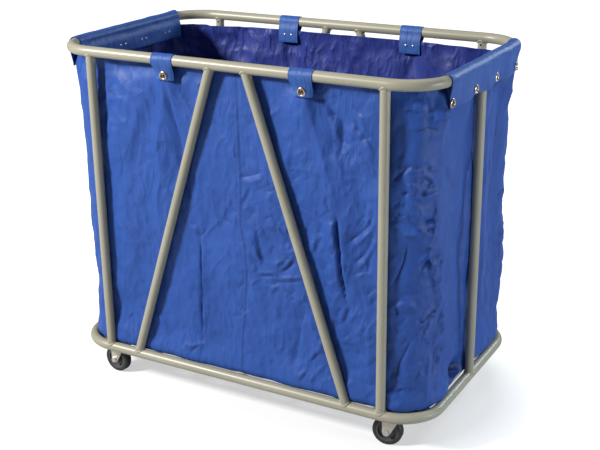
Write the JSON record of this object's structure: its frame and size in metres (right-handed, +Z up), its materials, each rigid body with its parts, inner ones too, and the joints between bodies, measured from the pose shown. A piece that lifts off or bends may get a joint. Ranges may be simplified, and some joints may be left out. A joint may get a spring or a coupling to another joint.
{
  "type": "linen trolley",
  "caption": "Wheeled linen trolley: rounded tube frame with inverted-V braces on swivel castors, holding a deep open cloth bag hung by snap straps and end flaps.",
  "frame": {"origin": "on the floor, under the middle of the tube frame", "axes": "+X along the long side, +Y across the trolley to the back, +Z up"},
  "size_m": [1.0174, 0.5996, 0.8852],
  "materials": {
    "frame_paint": "greenish grey powder coat, satin",
    "base_board": "white faced hardboard",
    "bag_cloth": "royal blue coated nylon, slight sheen",
    "strap_cloth": "doubled royal blue nylon, stitched",
    "zinc_plate": "zinc plated pressed steel",
    "bush_steel": "turned steel",
    "fastener_steel": "bright zinc plated",
    "wheel_plastic": "moulded grey black plastic",
    "tyre_rubber": "black rubber",
    "snap_chrome": "nickel plated, bright",
    "snap_brass": "antique brass",
    "rivet_steel": "nickel plated, bright"
  },
  "bodies": {
    "frame": {"bag_floor": "bag_cloth", "bag_left_half": "bag_cloth", "bag_right_half": "bag_cloth", "base_board": "base_board", "base_crossbars": "frame_paint", "base_rail": "frame_paint", "brace_back_left": "frame_paint", "brace_back_right": "frame_paint", "brace_front_left": "frame_paint", "brace_front_right": "frame_paint", "castor_bolts": "fastener_steel", "castor_kingpins": "fastener_steel", "castor_nuts": "fastener_steel", "castor_plates": "zinc_plate", "corner_gussets": "frame_paint", "end_flap_left": "strap_cloth", "end_flap_right": "strap_cloth", "flap_rivets": "rivet_steel", "flap_snap_caps": "snap_chrome", "flap_snap_sockets": "snap_brass", "strap_back_left": "strap_cloth", "strap_back_right": "strap_cloth", "strap_front_left": "strap_cloth", "strap_front_right": "strap_cloth", "strap_rivets": "rivet_steel", "strap_snap_caps": "snap_chrome", "strap_snap_sockets": "snap_brass", "swivel_balls": "fastener_steel", "top_rail": "frame_paint", "upright_back_left": "frame_paint", "upright_back_right": "frame_paint", "upright_end_left": "frame_paint", "upright_end_right": "frame_paint", "upright_front_left": "frame_paint", "upright_front_right": "frame_paint"},
    "castor_front_left": {"fork_front_left": "zinc_plate", "axle_front_left": "fastener_steel", "axle_nut_front_left": "fastener_steel", "axle_bush_front_left": "bush_steel"},
    "castor_front_right": {"fork_front_right": "zinc_plate", "axle_front_right": "fastener_steel", "axle_nut_front_right": "fastener_steel", "axle_bush_front_right": "bush_steel"},
    "castor_back_left": {"fork_back_left": "zinc_plate", "axle_back_left": "fastener_steel", "axle_nut_back_left": "fastener_steel", "axle_bush_back_left": "bush_steel"},
    "castor_back_right": {"fork_back_right": "zinc_plate", "axle_back_right": "fastener_steel", "axle_nut_back_right": "fastener_steel", "axle_bush_back_right": "bush_steel"},
    "wheel_front_left": {"wheel_front_left": "wheel_plastic", "tyre_front_left": "tyre_rubber"},
    "wheel_front_right": {"wheel_front_right": "wheel_plastic", "tyre_front_right": "tyre_rubber"},
    "wheel_back_left": {"wheel_back_left": "wheel_plastic", "tyre_back_left": "tyre_rubber"},
    "wheel_back_right": {"wheel_back_right": "wheel_plastic", "tyre_back_right": "tyre_rubber"}
  },
  "joints": [
    {"name": "swivel_front_left", "type": "hinge", "parent": "frame", "child": "castor_front_left", "pos_m": [-0.396, -0.234, 0.0882], "axis": [0, 0, 1], "continuous": true},
    {"name": "roll_front_left", "type": "hinge", "parent": "castor_front_left", "child": "wheel_front_left", "pos_m": [-0.40797, -0.23316, 0.0365], "axis": [0.0698, 0.9976, 0], "continuous": true},
    {"name": "swivel_front_right", "type": "hinge", "parent": "frame", "child": "castor_front_right", "pos_m": [0.396, -0.234, 0.0882], "axis": [0, 0, 1], "continuous": true},
    {"name": "roll_front_right", "type": "hinge", "parent": "castor_front_right", "child": "wheel_front_right", "pos_m": [0.38412, -0.23567, 0.0365], "axis": [-0.1392, 0.9903, 0], "continuous": true},
    {"name": "swivel_back_left", "type": "hinge", "parent": "frame", "child": "castor_back_left", "pos_m": [-0.396, 0.234, 0.0882], "axis": [0, 0, 1], "continuous": true},
    {"name": "roll_back_left", "type": "hinge", "parent": "castor_back_left", "child": "wheel_back_left", "pos_m": [-0.40764, 0.2311, 0.0365], "axis": [-0.2419, 0.9703, 0], "continuous": true},
    {"name": "swivel_back_right", "type": "hinge", "parent": "frame", "child": "castor_back_right", "pos_m": [0.396, 0.234, 0.0882], "axis": [0, 0, 1], "continuous": true},
    {"name": "roll_back_right", "type": "hinge", "parent": "castor_back_right", "child": "wheel_back_right", "pos_m": [0.38422, 0.23629, 0.0365], "axis": [0.1908, 0.9816, 0], "continuous": true}
  ]
}
